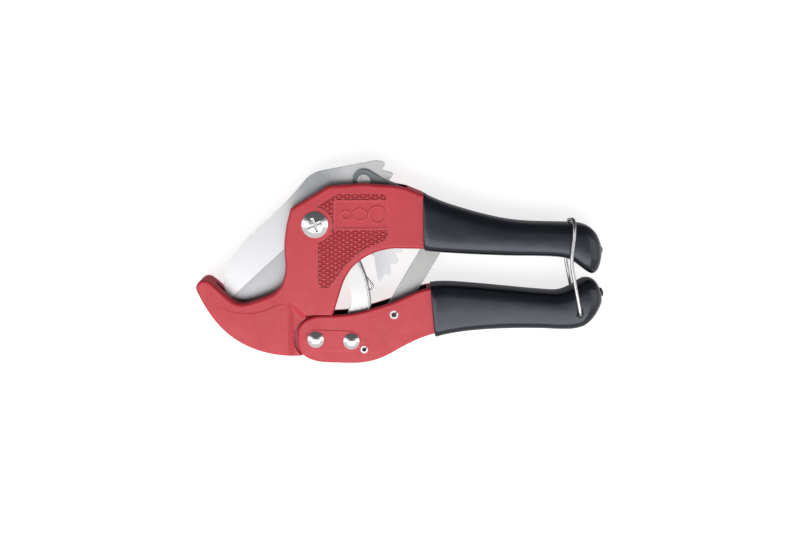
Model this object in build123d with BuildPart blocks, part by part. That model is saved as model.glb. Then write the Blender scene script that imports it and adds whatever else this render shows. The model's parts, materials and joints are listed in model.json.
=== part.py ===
from build123d import *
from math import asin, cos, hypot, radians, sin
import os

# Ratchet cutter for plastic pipe, lying on its side. Millimetres.
# +X runs from the jaw to the ends of the handles, +Z is the hinge direction.
# Every sketch is drawn from the blade pivot, on planes parallel to the blade's middle plane.
PIVOT_X, PIVOT_Y = -41.77, 19.14
BASE_Z = 13.9
MID = Plane(origin=(PIVOT_X, PIVOT_Y, BASE_Z))

# Pivots, from the blade pivot
HANDLE_PIVOT = (0, -57.2)
LEVER_PIVOT = (17.7, -58.0)
SPRING_PIN = (24.0, -62.3)
FEED_PIVOT = (38.8, -44.8)
LINK_PIVOT = (23.9, 21.1)
STOP_PIVOT = (56.0, 5.0)
SPRING_ANCHOR = (76.0, -1.0)
BAIL_PIVOT = (130.7, -44.1)

# Half thicknesses of the layers, each side of the middle plane
FRAME_HALF = 10.0
TANG_HALF = 8.0
GRIP_HALF = 11.2
POCKET_HALF = 5.2
CHANNEL_HALF = 6.3
LUG_HALF = 6.0
BLADE_HALF = 1.4
SLOT_HALF = 1.8

# Blade
TOOTH_TIP = 45.2
TOOTH_ROOT = 42.2
TOOTH_PITCH = 8.45
TOOTH_FIRST = 41.1
TOOTH_COUNT = 10
HUB_BORE = 5.06
SWEEP = 46.4
TIP_SWEEP = 58.7

# Handle hinge
HANDLE_SWEEP = 11.3
LUG_RADIUS = 7.6
VALLEY_DEPTH, VALLEY_SLOPE = 1.9, 61

# Sunk fields in both faces of the casting
FIELD_DEPTH = 0.6
PAD_PLACE = (22.7, 4.8)
PAD_LENGTH, PAD_WIDTH, PAD_FRAME = 25.4, 13.2, 0.8
BOSS = 8.6

# Fasteners
BUSH_OUTER, BUSH_INNER = 5.0, 4.0
SCREW_HEAD, SCREW_HEAD_RISE = 6.5, 2.8
NUT_FLATS = 11.0
RIVET_HEAD, RIVET_RISE, RIVET_PAD = 4.0, 2.1, 0.5
HANDLE_RIVET, LEVER_RIVET, LINK_RIVET = 3.0, 2.0, 1.8
FEED_PIN, SMALL_PIN, STOP_PIN = 2.1, 1.8, 1.5
RUNNING = 0.08
WIRE = 0.9
BAIL_HALF = BASE_Z - WIRE
BAIL_FOOT = 6.8
GRIP_ROUND = 2.0

os.makedirs("parts", exist_ok=True)


def disc(place, radius, low, high, mode=Mode.ADD):
    """A plain cylinder between two heights."""
    with BuildSketch(MID.offset(low)) as face:
        with Locations(place):
            Circle(radius)
    extrude(face.sketch, amount=high - low, mode=mode)


def both_sides(place, radius, low, high, mode=Mode.ADD):
    disc(place, radius, low, high, mode)
    disc(place, radius, -high, -low, mode)


def dome(place, radius, base, rise, rim=0.5):
    """A domed head: a ball's cap on a low rim, standing on the given height."""
    ball = (radius ** 2 + (rise - rim) ** 2) / (2 * (rise - rim))
    half_turn = asin(radius / ball) / 2
    middle = (ball * sin(half_turn), rise - ball + ball * cos(half_turn))
    section = Plane(origin=MID.from_local_coords((*place, base)), x_dir=(1, 0, 0), z_dir=(0, -1, 0))
    with BuildSketch(section) as cap:
        with BuildLine() as half:
            Polyline((0, rise), (0, 0), (radius, 0), (radius, rim))
            ThreePointArc((radius, rim), middle, (0, rise))
        make_face(half.edges())
    revolve(cap.sketch, axis=Axis(section.origin, (0, 0, 1)))


def drill(place, radius):
    disc(place, radius, -20, 20, Mode.SUBTRACT)


# ---------------------------------------------------------------- outlines
def frame_face():
    """Jaw, body and the start of the upper handle, seen along the pivot."""
    with BuildLine() as outline:
        front = Spline(
            (-11.8, 7.8), (-14.4, -3), (-15.2, -12), (-14.8, -22.5), (-18.4, -32.2), (-28.5, -37.5),
            (-38.6, -39.2), (-45.0, -34.8), (-53.0, -27.9))
        tip = ThreePointArc(front @ 1, (-57.6, -28.5), (-59.0, -32.4))
        belly = Spline(
            tip @ 1, (-55.6, -39.3), (-47.2, -51.2), (-37.1, -59.2), (-24.8, -64.1), (-12.0, -65.8))
        Line(belly @ 1, (-5.0, -65.8))
        Line((-5.0, -65.8), (8.6, -57.0))
        Line((8.6, -57.0), (8.6, -44.8))
        arch = Spline(
            (8.6, -44.8), (11.4, -36.0), (17.2, -22.6), (24.6, -16.2), (33.0, -12.8), (43.0, -11.9))
        Polyline(
            arch @ 1, (53.8, -12.1), (53.8, -10.8), (58.5, -10.8), (58.5, 9.4), (53.4, 11.4), (53.0, 14.8),
            (44.8, 18.1), (39.8, 19.1), (23.2, 20.2), (6.6, 18.9), (-11.8, 7.8))
    make_face(outline.edges())


def upper_grip_face():
    with BuildLine() as outline:
        top = Spline(
            (53.0, 14.8), (61.6, 11.0), (81.5, 4.9), (97.4, 1.5), (112.0, 0.5), (126.0, 0.0),
            (135.4, -1.8), (140.6, -8.4), (141.8, -15.6), (137.2, -24.0), (130.6, -20.6),
            (122.0, -17.0), (108.0, -16.1), (90.0, -15.7), (53.8, -13.6))
        Line(top @ 1, top @ 0)
    make_face(outline.edges())


def lower_grip_face():
    with BuildLine() as outline:
        top = Spline(
            (56.6, -30.6), (73.8, -30.5), (97.8, -32.6), (116.0, -34.2), (125.2, -33.2),
            (131.4, -28.8), (138.2, -28.4), (142.4, -36.0), (140.0, -45.6), (130.8, -52.3),
            (116.0, -52.8), (98.0, -52.4), (80.0, -53.4), (59.4, -56.6))
        Line(top @ 1, top @ 0)
    make_face(outline.edges())


def upper_tang_face():
    """The end of the casting inside the upper grip."""
    with BuildLine() as outline:
        edge = Spline(
            (55.5, 10.4), (81.5, 2.4), (97.4, -0.8), (125.0, -2.4), (131.5, -5.2), (134.6, -11.6),
            (131.0, -17.2), (122.0, -14.4), (90.0, -13.3), (57.0, -10.9))
        Line(edge @ 1, edge @ 0)
    make_face(outline.edges())


def lower_tang_face():
    """The end of the handle inside the lower grip."""
    with BuildLine() as outline:
        edge = Spline(
            (58.8, -33.4), (73.8, -33.0), (97.8, -35.0), (118.0, -36.6), (129.5, -33.8), (134.2, -34.2),
            (136.2, -39.0), (134.6, -45.2), (128.5, -49.4), (116.0, -50.2), (98.0, -49.9), (80.0, -50.9),
            (63.0, -53.4))
        Line(edge @ 1, edge @ 0)
    make_face(outline.edges())


def handle_face():
    with BuildLine() as outline:
        edge = Spline(
            (66.0, -53.4), (51.7, -56.8), (42.7, -61.2), (34.3, -65.8), (24.6, -68.8), (10.0, -69.1),
            (-0.5, -68.1), (-6.6, -64.8), (-8.9, -57.0), (-7.2, -49.6), (-1.6, -46.1), (8.6, -45.3),
            (20.0, -44.1), (31.4, -41.0), (42.0, -37.2), (55.0, -32.0), (63.0, -32.4))
        Line(edge @ 1, edge @ 0)
    make_face(outline.edges())


def texture_face():
    """The checkered field of the casting, around the pivot boss and the blank name pad."""
    with BuildLine() as outline:
        Polyline(
            (1.4, -6.0), (1.4, -28.6), (2.6, -31.2), (6.6, -31.2), (9.4, -27.9), (14.9, -20.0),
            (22.2, -13.3), (34.4, -7.4), (36.0, -5.0), (36.0, 12.4), (33.6, 15.2), (11.0, 15.2),
            (5.0, 11.8), (-1.6, 7.0), close=True)
    make_face(outline.edges())


# ---------------------------------------------------------------- frame
with BuildPart() as frame:
    with BuildSketch(MID.offset(-FRAME_HALF)):
        frame_face()
    extrude(amount=2 * FRAME_HALF)
    rims = frame.faces().filter_by(Axis.Z).edges()
    fillet([e for e in rims if e.center().X < PIVOT_X + 50], radius=1.6)
    # the tang that the upper grip is pushed onto
    with BuildSketch(MID.offset(-TANG_HALF)):
        upper_tang_face()
    extrude(amount=2 * TANG_HALF)
    # the step that the lower handle's cheeks turn in, and the lug between them
    for low in (LUG_HALF, -FRAME_HALF - 1):
        disc(HANDLE_PIVOT, HANDLE_SWEEP, low, low + 5, Mode.SUBTRACT)
        with BuildSketch(MID.offset(low)):
            with Locations((5, -59.0)):
                Rectangle(20, 28.2)
        extrude(amount=5, mode=Mode.SUBTRACT)
    # both faces fall away to the lower handle in a valley with sloping sides
    for side in (1, -1):
        floor = Plane(origin=MID.offset(side * (FRAME_HALF - VALLEY_DEPTH)).origin, z_dir=(0, 0, side))
        with BuildSketch(floor) as valley:
            with BuildLine() as outline:
                Polyline(
                    (-10.6, -43.6 * side), (-5.5, -48.2 * side), (10.0, -49.2 * side), (10.0, -75 * side),
                    (-10.6, -75 * side), close=True)
            make_face(outline.edges())
        extrude(valley.sketch, amount=VALLEY_DEPTH + 0.2, taper=-VALLEY_SLOPE, mode=Mode.SUBTRACT)
    with BuildSketch(MID.offset(-LUG_HALF)):
        with Locations((21.4, -52)):
            Rectangle(30, 14.2)
        with Locations((LUG_RADIUS + 10, -62)):
            Rectangle(20, 20)
        with Locations((0, -68)):
            Rectangle(14, 4)
    extrude(amount=2 * LUG_HALF, mode=Mode.SUBTRACT)
    disc(HANDLE_PIVOT, LUG_RADIUS, -LUG_HALF, LUG_HALF)
    # pocket for the toothed sector, the link and the lever
    with BuildSketch(MID.offset(-POCKET_HALF)):
        Circle(SWEEP)
        with Locations((-60, 0)):
            Rectangle(104, 160, mode=Mode.SUBTRACT)
        with Locations((16.5, -44)):
            Rectangle(20, 14)
    extrude(amount=2 * POCKET_HALF, mode=Mode.SUBTRACT)
    # slot that the blade closes into
    with BuildSketch(MID.offset(-SLOT_HALF)):
        Circle(TIP_SWEEP)
        with BuildLine():
            Polyline(
                (-70, 70), (-70, -30), (-46, -41.6), (-43, -41), (-22, -41), (-13, -47), (0, -47),
                (0, 70), close=True)
        make_face(mode=Mode.INTERSECT)
    extrude(amount=2 * SLOT_HALF, mode=Mode.SUBTRACT)
    # channel of the upper handle, open below for the feed pawl
    with BuildSketch(MID.offset(-CHANNEL_HALF)):
        with BuildLine():
            Polyline(
                (38, -20), (38, 30), (45.5, 30), (45.5, 16.4), (51.0, 13.6), (58, 9.2), (62, 7.4),
                (70, 4.6), (80, 1.7), (80, -8), (71, -8), (71, -20), close=True)
        make_face()
    extrude(amount=2 * CHANNEL_HALF, mode=Mode.SUBTRACT)
    # pivot bosses
    both_sides((0, 0), 9.0, 2.0, POCKET_HALF)
    disc((0, 0), BUSH_OUTER, -POCKET_HALF, POCKET_HALF, Mode.SUBTRACT)
    drill((0, 0), BUSH_INNER)
    drill(HANDLE_PIVOT, HANDLE_RIVET + RUNNING)
    disc(SPRING_ANCHOR, STOP_PIN, -TANG_HALF, TANG_HALF, Mode.SUBTRACT)
    disc(STOP_PIVOT, STOP_PIN, -TANG_HALF, 0, Mode.SUBTRACT)
    # checkered field and blank name pad, sunk into both faces
    for low in (FRAME_HALF - FIELD_DEPTH, -FRAME_HALF):
        with BuildSketch(MID.offset(low)):
            texture_face()
            Circle(BOSS, mode=Mode.SUBTRACT)
            with Locations(PAD_PLACE):
                RectangleRounded(
                    PAD_LENGTH + 2 * PAD_FRAME, PAD_WIDTH + 2 * PAD_FRAME, 1.0, mode=Mode.SUBTRACT)
                RectangleRounded(PAD_LENGTH, PAD_WIDTH, 0.8)
        extrude(amount=FIELD_DEPTH, mode=Mode.SUBTRACT)

# ---------------------------------------------------------------- lower handle
with BuildPart() as lower_handle:
    with BuildSketch(MID.offset(-FRAME_HALF)):
        handle_face()
    extrude(amount=2 * FRAME_HALF)
    rims = lower_handle.faces().filter_by(Axis.Z).edges()
    fillet([e for e in rims if e.center().X < PIVOT_X + 55], radius=1.2)
    with BuildSketch(MID.offset(-TANG_HALF)):
        lower_tang_face()
    extrude(amount=2 * TANG_HALF)
    with BuildSketch(MID.offset(-CHANNEL_HALF)):
        with BuildLine():
            Polyline(
                (-14, -30), (-14, -74), (4, -74), (4, -66.0), (25, -65.9), (33, -63.4), (42, -58.6),
                (50, -54.4), (55, -50), (55, -26), close=True)
        make_face()
    extrude(amount=2 * CHANNEL_HALF, mode=Mode.SUBTRACT)
    # raised oblong pads around the two rivets
    for side in (1, -1):
        with BuildSketch(MID.offset(side * FRAME_HALF)):
            with Locations((8.6, -57.8)):
                SlotOverall(28.0, 10.6, rotation=-2)
        extrude(amount=side * RIVET_PAD, taper=30)
    for place, radius in ((HANDLE_PIVOT, HANDLE_RIVET), (LEVER_PIVOT, LEVER_RIVET),
                          (FEED_PIVOT, FEED_PIN), (SPRING_PIN, SMALL_PIN)):
        drill(place, radius)
    drill(BAIL_PIVOT, WIRE + RUNNING)

# ---------------------------------------------------------------- grips
with BuildPart() as upper_grip:
    with BuildSketch(MID.offset(-GRIP_HALF)):
        upper_grip_face()
    extrude(amount=2 * GRIP_HALF)
    rims = upper_grip.faces().filter_by(Axis.Z).edges()
    fillet([e for e in rims if e.center().X > PIVOT_X + 56], radius=GRIP_ROUND)
    with BuildSketch(MID.offset(-TANG_HALF)):
        upper_tang_face()
    extrude(amount=2 * TANG_HALF, mode=Mode.SUBTRACT)
    with BuildSketch(MID.offset(-FRAME_HALF)):
        frame_face()
    extrude(amount=2 * FRAME_HALF, mode=Mode.SUBTRACT)
    # mouth under the grip that the feed pawl passes through
    with BuildSketch(MID.offset(-CHANNEL_HALF)):
        with Locations((61, -14)):
            Rectangle(20, 12)
    extrude(amount=2 * CHANNEL_HALF, mode=Mode.SUBTRACT)

with BuildPart() as lower_grip:
    with BuildSketch(MID.offset(-GRIP_HALF)):
        lower_grip_face()
    extrude(amount=2 * GRIP_HALF)
    rims = lower_grip.faces().filter_by(Axis.Z).edges()
    fillet([e for e in rims if e.center().X > PIVOT_X + 60], radius=GRIP_ROUND)
    with BuildSketch(MID.offset(-TANG_HALF)):
        lower_tang_face()
    extrude(amount=2 * TANG_HALF, mode=Mode.SUBTRACT)
    with BuildSketch(MID.offset(-FRAME_HALF)):
        handle_face()
    extrude(amount=2 * FRAME_HALF, mode=Mode.SUBTRACT)
    drill(BAIL_PIVOT, WIRE + RUNNING)

# ---------------------------------------------------------------- blade
def tooth_point(angle, radius):
    return (radius * cos(radians(angle)), radius * sin(radians(angle)))


def toothed_edge():
    """Rounded ratchet teeth, steep on the side that faces down."""
    points = []
    for number in range(TOOTH_COUNT):
        crest = TOOTH_FIRST - number * TOOTH_PITCH
        points.append(tooth_point(crest + 0.62 * TOOTH_PITCH, TOOTH_ROOT))
        points.append(tooth_point(crest + 1.0, TOOTH_TIP - 0.15))
        points.append(tooth_point(crest - 0.5, TOOTH_TIP))
        points.append(tooth_point(crest - 1.3, TOOTH_TIP - 0.8))
        points.append(tooth_point(crest - 2.2, TOOTH_ROOT + 0.3))
    return points[1:]


with BuildPart() as blade:
    with BuildSketch(MID.offset(-BLADE_HALF)):
        with BuildLine():
            nose = ThreePointArc((-42.8, -38.8), (-46.3, -29.0), (-43.0, -18.3))
            spine = Spline(nose @ 1, (-34.8, -8.4), (-24.2, 1.4), (-12.9, 12.6), (-4.8, 21.8))
            crown = ThreePointArc(spine @ 1, (-1.2, 24.4), (3.4, 25.9))
            teeth = toothed_edge()
            Line(crown @ 1, (30.4, 31.0))
            Polyline(
                (30.4, 31.0), *teeth, (31.7, -29.7), (30.5, -28.0), (28.8, -16.5), (18.0, -12.0),
                (7.0, -14.0), (-2.0, -20.0), (-8.0, -34.0))
            ThreePointArc((-8.0, -34.0), (-26.0, -38.6), (-42.8, -38.8))
        make_face()
        Circle(HUB_BORE, mode=Mode.SUBTRACT)
        with Locations(LINK_PIVOT):
            Circle(LINK_RIVET, mode=Mode.SUBTRACT)
    extrude(amount=2 * BLADE_HALF)
    # flat-ground bevels, meeting near the cutting edge
    for side in (1, -1):
        start = MID.from_local_coords((-43.4, -38.2, side * BLADE_HALF))
        along = Vector(26.8, 24.7, 0).normalized()
        grind = Plane(origin=start, x_dir=Vector(along.Y, -along.X, 0), z_dir=along)
        lift = 1 if grind.y_dir.Z * side > 0 else -1
        with BuildSketch(grind) as wedge:
            with BuildLine():
                Polyline((0, 0), (30, -lift * 30 * 0.072), (30, lift * 4), (0, lift * 4), close=True)
            make_face()
        extrude(wedge.sketch, amount=37, mode=Mode.SUBTRACT)

with BuildPart() as link_rivet:
    disc(LINK_PIVOT, LINK_RIVET, -BLADE_HALF - 0.6, 3.5)
    disc(LINK_PIVOT, 3.2, 3.4, 4.2)
    disc(LINK_PIVOT, 2.9, -BLADE_HALF - 1.2, -BLADE_HALF)

# ---------------------------------------------------------------- link and its spring
LINK_LENGTH = 19.0
LINK_LOW, LINK_HIGH = 1.7, 3.3
reach_x, reach_y = SPRING_ANCHOR[0] - LINK_PIVOT[0], SPRING_ANCHOR[1] - LINK_PIVOT[1]
reach = hypot(reach_x, reach_y)
toward = (reach_x / reach, reach_y / reach)
LINK_TAIL = (LINK_PIVOT[0] + LINK_LENGTH * toward[0], LINK_PIVOT[1] + LINK_LENGTH * toward[1])

with BuildPart() as spring_link:
    with BuildSketch(MID.offset(LINK_LOW)):
        with Locations(LINK_PIVOT):
            Circle(5.5)
        with Locations(LINK_TAIL):
            Circle(2.8)
        make_hull()
        with Locations(LINK_PIVOT):
            Circle(LINK_RIVET + RUNNING, mode=Mode.SUBTRACT)
        with Locations(LINK_TAIL):
            Circle(1.1, mode=Mode.SUBTRACT)
    extrude(amount=LINK_HIGH - LINK_LOW)

COIL_Z = 4.0
COIL_OUTER, COIL_INNER, COIL_WIRE = 2.0, 1.0, 0.5
COIL_START, COIL_TURNS = 4.0, 27


def wound_coil(centre, direction, outer, inner, wire_radius, turns):
    """A close-wound coil: touching rounds of wire, as one turned solid."""
    across = Vector(0, 0, 1).cross(direction) if abs(direction.Z) < 0.5 else Vector(1, 0, 0)
    section = Plane(origin=centre, x_dir=direction, z_dir=direction.cross(across))
    with BuildSketch(section) as profile:
        with BuildLine() as rounds:
            for turn in range(turns):
                left = 2 * wire_radius * turn
                ThreePointArc((left, outer - wire_radius), (left + wire_radius, outer),
                              (left + 2 * wire_radius, outer - wire_radius))
            length = 2 * wire_radius * turns
            Polyline((length, outer - wire_radius), (length, inner), (0, inner), (0, outer - wire_radius))
        make_face(rounds.edges())
    revolve(profile.sketch, axis=Axis(centre, direction))


def along_link(distance):
    """A point on the blade spring's axis, from the tail of the link."""
    x = LINK_TAIL[0] + distance * toward[0]
    y = LINK_TAIL[1] + distance * toward[1]
    return MID.from_local_coords((x, y, COIL_Z))


with BuildPart() as blade_spring:
    pull = Vector(toward[0], toward[1], 0)
    wound_coil(along_link(COIL_START), pull, COIL_OUTER, COIL_INNER, COIL_WIRE, COIL_TURNS)
    coil_end = COIL_START + 2 * COIL_WIRE * COIL_TURNS
    for near, far in ((0.2, COIL_START + 1), (coil_end - 1, reach - LINK_LENGTH - 2.3)):
        with BuildSketch(Plane(origin=along_link(near), z_dir=pull)) as section:
            Circle(COIL_WIRE)
        extrude(section.sketch, amount=far - near)
    for distance in (COIL_START, coil_end - 0.5):
        with BuildSketch(Plane(origin=along_link(distance), z_dir=pull)) as section:
            Circle(COIL_OUTER - COIL_WIRE)
        extrude(section.sketch, amount=0.5)

with BuildPart() as spring_anchor:
    disc(SPRING_ANCHOR, STOP_PIN, -TANG_HALF, TANG_HALF)

# ---------------------------------------------------------------- stop pawl
with BuildPart() as stop_pawl:
    with BuildSketch(MID.offset(-BLADE_HALF)):
        with BuildLine():
            Polyline(
                (45.1, 8.8), (45.4, 6.3), (48.0, 5.0), (56, 2.0), (57, 8.0), (48.0, 11.0), close=True)
        make_face()
        with Locations(STOP_PIVOT):
            Circle(3.1)
            Circle(STOP_PIN + RUNNING, mode=Mode.SUBTRACT)
    extrude(amount=2 * BLADE_HALF)

with BuildPart() as stop_pawl_pin:
    disc(STOP_PIVOT, STOP_PIN, -TANG_HALF, BLADE_HALF)

with BuildPart() as stop_pawl_spring:
    disc(STOP_PIVOT, 2.7, -CHANNEL_HALF, -2.2)
    disc(STOP_PIVOT, STOP_PIN, -CHANNEL_HALF, -2.2, Mode.SUBTRACT)

# ---------------------------------------------------------------- feed pawl
STRAP_HALF = 4.68
STRAP_ANGLE = 59.4
strap_dir = (cos(radians(STRAP_ANGLE)), sin(radians(STRAP_ANGLE)))


def strap_point(along, across):
    """A point of the strap: its distance from the pivot, and to the left of the middle line."""
    return (FEED_PIVOT[0] + along * strap_dir[0] - across * strap_dir[1],
            FEED_PIVOT[1] + along * strap_dir[1] + across * strap_dir[0])


with BuildPart() as feed_pawl:
    with BuildSketch(MID.offset(-BLADE_HALF)):
        with BuildLine():
            Polyline(
                strap_point(0, -STRAP_HALF), strap_point(44, -STRAP_HALF), (61.0, -1.6), (52.0, -0.9),
                (45.8, -2.2), (45.8, -4.2), (49.5, -8.6), strap_point(35, STRAP_HALF),
                strap_point(0, STRAP_HALF), close=True)
        make_face()
        with Locations(FEED_PIVOT):
            Circle(STRAP_HALF)
            Circle(FEED_PIN + RUNNING, mode=Mode.SUBTRACT)
    extrude(amount=2 * BLADE_HALF)

with BuildPart() as feed_pawl_pin:
    disc(FEED_PIVOT, FEED_PIN, -FRAME_HALF, FRAME_HALF)
    disc(FEED_PIVOT, 1.2, -FRAME_HALF, FRAME_HALF, Mode.SUBTRACT)
    with BuildSketch(MID.offset(-FRAME_HALF)):
        with Locations((FEED_PIVOT[0] + 1.2, FEED_PIVOT[1] + 1.2)):
            Rectangle(2.8, 0.7, rotation=45)
    extrude(amount=2 * FRAME_HALF, mode=Mode.SUBTRACT)

with BuildPart() as pawl_spacers:
    both_sides(FEED_PIVOT, 3.6, BLADE_HALF + 0.1, CHANNEL_HALF - 0.1)
    disc(FEED_PIVOT, FEED_PIN, -CHANNEL_HALF, CHANNEL_HALF, Mode.SUBTRACT)

with BuildPart() as spring_pin:
    disc(SPRING_PIN, SMALL_PIN, -FRAME_HALF, FRAME_HALF)
    disc(SPRING_PIN, 1.0, -FRAME_HALF, FRAME_HALF, Mode.SUBTRACT)
    with BuildSketch(MID.offset(-FRAME_HALF)):
        with Locations((SPRING_PIN[0] + 1.0, SPRING_PIN[1] + 1.0)):
            Rectangle(2.4, 0.6, rotation=45)
    extrude(amount=2 * FRAME_HALF, mode=Mode.SUBTRACT)

# ---------------------------------------------------------------- opening lever and handle spring
CHEEK_LOW, CHEEK_HIGH = 3.0, 4.6


def cheek_face():
    with BuildLine() as outline:
        back = Spline(
            (23.2, -58.0), (26.4, -48.0), (27.2, -40.6), (26.5, -34.5), (24.9, -27.2), (22.0, -20.2),
            (17.0, -9.0))
        top = ThreePointArc(back @ 1, (13.6, -6.6), (11.0, -9.6))
        front = Spline(
            top @ 1, (13.2, -20.0), (16.0, -29.7), (17.8, -36.6), (16.4, -43.0), (12.8, -52.0),
            (12.2, -58.0))
        ThreePointArc(front @ 1, (17.7, -63.5), (23.2, -58.0))
    make_face(outline.edges())


with BuildPart() as opening_lever:
    for low in (CHEEK_LOW, -CHEEK_HIGH):
        with BuildSketch(MID.offset(low)):
            cheek_face()
            with Locations(LEVER_PIVOT):
                Circle(LEVER_RIVET + RUNNING, mode=Mode.SUBTRACT)
        extrude(amount=CHEEK_HIGH - CHEEK_LOW)
    with BuildSketch(MID.offset(-CHEEK_LOW)):
        with BuildLine():
            Polyline(
                (22.8, -56.0), (24.0, -56.0), (27.0, -45.0), (27.3, -41.2), (25.7, -41.0),
                (25.0, -46.0), close=True)
        make_face()
    extrude(amount=2 * CHEEK_LOW)

SPRING_WIRE = 0.55
with BuildPart() as handle_spring:
    wound_coil(MID.from_local_coords((*LEVER_PIVOT, -2.75)), Vector(0, 0, 1), 3.65, 2.5, SPRING_WIRE, 5)
    with BuildLine(MID.offset(2.2)) as leg:
        FilletPolyline(
            (20.6, -58.9), (23.8, -45.0), (24.4, -37.6), (28.4, -32.2), (25.4, -27.6), radius=0.9)
    with BuildSketch(Plane(origin=leg.line @ 0, z_dir=leg.line % 0)) as wire:
        Circle(SPRING_WIRE)
    sweep(wire.sketch, path=leg.line)
    with BuildLine(MID.offset(-2.2)) as foot:
        Line((20.6, -57.1), (20.4, -65.2))
    with BuildSketch(Plane(origin=foot.line @ 0, z_dir=foot.line % 0)) as wire:
        Circle(SPRING_WIRE)
    sweep(wire.sketch, path=foot.line)

# ---------------------------------------------------------------- rivets, screw, nut
with BuildPart() as handle_rivet:
    disc(HANDLE_PIVOT, HANDLE_RIVET, 0, FRAME_HALF + RIVET_PAD)
    dome(HANDLE_PIVOT, RIVET_HEAD, FRAME_HALF + RIVET_PAD, RIVET_RISE)
    mirror(about=MID)

with BuildPart() as lever_rivet:
    disc(LEVER_PIVOT, LEVER_RIVET, 0, FRAME_HALF + RIVET_PAD)
    dome(LEVER_PIVOT, RIVET_HEAD, FRAME_HALF + RIVET_PAD, RIVET_RISE)
    mirror(about=MID)

with BuildPart() as pivot_screw:
    disc((0, 0), BUSH_INNER, -BASE_Z + 0.4, FRAME_HALF)
    dome((0, 0), SCREW_HEAD, FRAME_HALF, SCREW_HEAD_RISE)
    # cross recess with tapering arms
    for turn in (24, 114):
        with BuildSketch(MID.offset(FRAME_HALF + SCREW_HEAD_RISE + 1)):
            RectangleRounded(7.8, 2.1, 0.7, rotation=turn)
        extrude(amount=-3.4, taper=9, mode=Mode.SUBTRACT)

with BuildPart() as pivot_nut:
    with BuildSketch(MID.offset(-BASE_Z)):
        RegularPolygon(NUT_FLATS / 2, 6, major_radius=False)
    extrude(amount=BASE_Z - FRAME_HALF)
    chamfer(pivot_nut.faces().sort_by(Axis.Z)[0].edges(), 0.5)
    drill((0, 0), BUSH_INNER)

with BuildPart() as pivot_bushing:
    disc((0, 0), BUSH_OUTER, -POCKET_HALF, POCKET_HALF)
    drill((0, 0), BUSH_INNER)

with BuildPart() as blade_washers:
    both_sides((0, 0), 7.8, BLADE_HALF + 0.1, 2.0)
    drill((0, 0), BUSH_OUTER)

# ---------------------------------------------------------------- wire bail
with BuildPart() as wire_bail:
    hole_x, hole_y = BAIL_PIVOT
    near_leg = [(hole_x, hole_y), (128.1, -30.0), (125.6, -17.0), (126.9, -5.0)]
    path = [(hole_x, hole_y, BAIL_FOOT)]
    path += [(x, y, BAIL_HALF) for x, y in near_leg]
    # over the top of the upper grip
    path += [(126.6, 3.3, BAIL_HALF), (126.2, 3.3, -9.6), (126.6, -1.8, -BAIL_HALF)]
    path += [(x, y, -BAIL_HALF) for x, y in reversed(near_leg[:3])]
    path += [(hole_x, hole_y, -BAIL_FOOT)]
    with BuildLine(MID) as bent:
        FilletPolyline(*path, radius=[1.5, 6.0, 8.0, 8.0, 2.6, 2.6, 2.4, 8.0, 6.0, 1.5])
    with BuildSketch(Plane(origin=bent.line @ 0, z_dir=bent.line % 0)) as wire:
        Circle(WIRE)
    sweep(wire.sketch, path=bent.line)

# ---------------------------------------------------------------- parts out
for builder, name in (
        (frame, "frame"), (lower_handle, "lower_handle"), (upper_grip, "upper_grip"),
        (lower_grip, "lower_grip"), (blade, "blade"), (link_rivet, "link_rivet"),
        (spring_link, "spring_link"), (blade_spring, "blade_spring"), (spring_anchor, "spring_anchor"),
        (stop_pawl, "stop_pawl"), (stop_pawl_pin, "stop_pawl_pin"), (stop_pawl_spring, "stop_pawl_spring"),
        (feed_pawl, "feed_pawl"), (feed_pawl_pin, "feed_pawl_pin"), (pawl_spacers, "pawl_spacers"),
        (spring_pin, "spring_pin"), (opening_lever, "opening_lever"), (handle_spring, "handle_spring"),
        (handle_rivet, "handle_rivet"), (lever_rivet, "lever_rivet"), (pivot_screw, "pivot_screw"),
        (pivot_nut, "pivot_nut"), (pivot_bushing, "pivot_bushing"), (blade_washers, "blade_washers"),
        (wire_bail, "wire_bail")):
    builder.part.label = name
    export_step(builder.part, f"parts/{name}.step")
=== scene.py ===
import bpy
import bmesh
import json
from math import cos, sin, pi, radians, hypot
from mathutils import Vector, Matrix


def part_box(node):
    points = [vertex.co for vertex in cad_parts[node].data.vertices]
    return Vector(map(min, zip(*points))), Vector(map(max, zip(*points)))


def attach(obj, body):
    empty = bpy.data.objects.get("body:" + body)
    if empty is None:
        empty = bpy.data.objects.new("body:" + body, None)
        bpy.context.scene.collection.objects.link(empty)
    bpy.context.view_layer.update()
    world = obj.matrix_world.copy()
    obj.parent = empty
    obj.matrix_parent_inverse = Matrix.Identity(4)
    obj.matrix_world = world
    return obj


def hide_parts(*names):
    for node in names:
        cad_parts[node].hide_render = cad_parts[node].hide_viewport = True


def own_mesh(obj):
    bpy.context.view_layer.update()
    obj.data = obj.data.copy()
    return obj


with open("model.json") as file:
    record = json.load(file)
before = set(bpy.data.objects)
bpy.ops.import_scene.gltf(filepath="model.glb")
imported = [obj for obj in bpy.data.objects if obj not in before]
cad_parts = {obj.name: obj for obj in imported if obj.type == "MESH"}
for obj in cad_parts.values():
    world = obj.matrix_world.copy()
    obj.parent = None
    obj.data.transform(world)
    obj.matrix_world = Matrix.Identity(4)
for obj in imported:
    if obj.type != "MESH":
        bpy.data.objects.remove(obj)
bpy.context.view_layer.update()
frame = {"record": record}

MM = 0.001


def middle(node):
    """The middle of a CAD node's box, in metres."""
    low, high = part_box(node)
    return (Vector(low) + Vector(high)) / 2


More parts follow.
